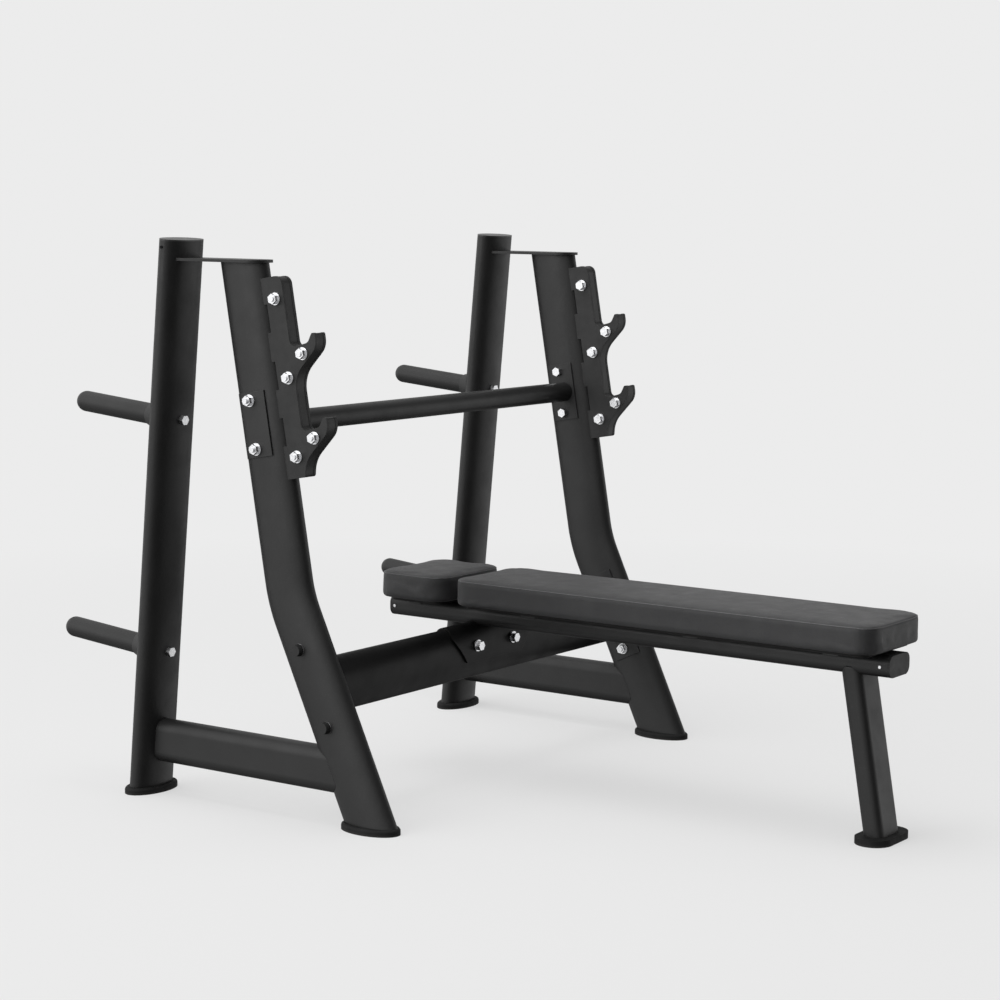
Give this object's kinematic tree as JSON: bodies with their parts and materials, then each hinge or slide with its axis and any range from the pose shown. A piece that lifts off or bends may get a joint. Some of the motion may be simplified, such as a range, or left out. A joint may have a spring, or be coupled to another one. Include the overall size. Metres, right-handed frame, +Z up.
{
  "type": "olympic bench press",
  "caption": "Flat bench with a head pad on a rail, between two oval-tube side frames with stepped bar hooks and rear weight horns.",
  "frame": {"origin": "on the floor, under the middle of the whole part's box", "axes": "+Z up; +Y from the foot end of the bench towards the head end and the weight horns; +X across the bench, from the left side frame to the right one"},
  "size_m": [1.276, 1.7737, 1.2029],
  "materials": {
    "black_coat": "satin",
    "pad_vinyl": "satin",
    "plywood": "matte",
    "zinc": "satin",
    "black_plastic": "matte",
    "lid_plastic": "gloss",
    "foot_rubber": "matte",
    "hook_nylon": "satin"
  },
  "bodies": {
    "root": {"bench_leg": "black_coat", "bench_rail": "black_coat", "bolt_covers": "black_plastic", "cap_screws": "zinc", "carrier_bolts": "zinc", "cross_bolts": "zinc", "cross_member": "black_coat", "cross_tube": "black_coat", "front_bracket": "black_coat", "head_board": "plywood", "head_bracket": "black_coat", "head_pad": "pad_vinyl", "hook_bolts": "zinc", "horn_bolts": "zinc", "left_backing_plate": "black_coat", "left_cross_flange": "black_coat", "left_front_foot": "foot_rubber", "left_front_upright": "black_coat", "left_hook_core": "black_coat", "left_hook_inner_plate": "hook_nylon", "left_hook_outer_plate": "hook_nylon", "left_lower_collar": "black_coat", "left_lower_flange": "black_coat", "left_lower_horn": "black_coat", "left_rear_cap": "lid_plastic", "left_rear_foot": "foot_rubber", "left_rear_upright": "black_coat", "left_side_brace": "black_coat", "left_top_plate": "black_coat", "left_upper_collar": "black_coat", "left_upper_horn": "black_coat", "leg_foot": "foot_rubber", "main_board": "plywood", "main_pad": "pad_vinyl", "member_bolts": "zinc", "middle_bracket": "black_coat", "nuts": "zinc", "rail_carrier": "black_coat", "rail_front_cap": "black_plastic", "rail_rear_cap": "black_plastic", "rear_bracket": "black_coat", "right_backing_plate": "black_coat", "right_cross_flange": "black_coat", "right_front_foot": "foot_rubber", "right_front_upright": "black_coat", "right_hook_core": "black_coat", "right_hook_inner_plate": "hook_nylon", "right_hook_outer_plate": "hook_nylon", "right_lower_collar": "black_coat", "right_lower_flange": "black_coat", "right_lower_horn": "black_coat", "right_rear_cap": "lid_plastic", "right_rear_foot": "foot_rubber", "right_rear_upright": "black_coat", "right_side_brace": "black_coat", "right_top_plate": "black_coat", "right_upper_collar": "black_coat", "right_upper_horn": "black_coat", "washers": "zinc"}
  },
  "joints": []
}
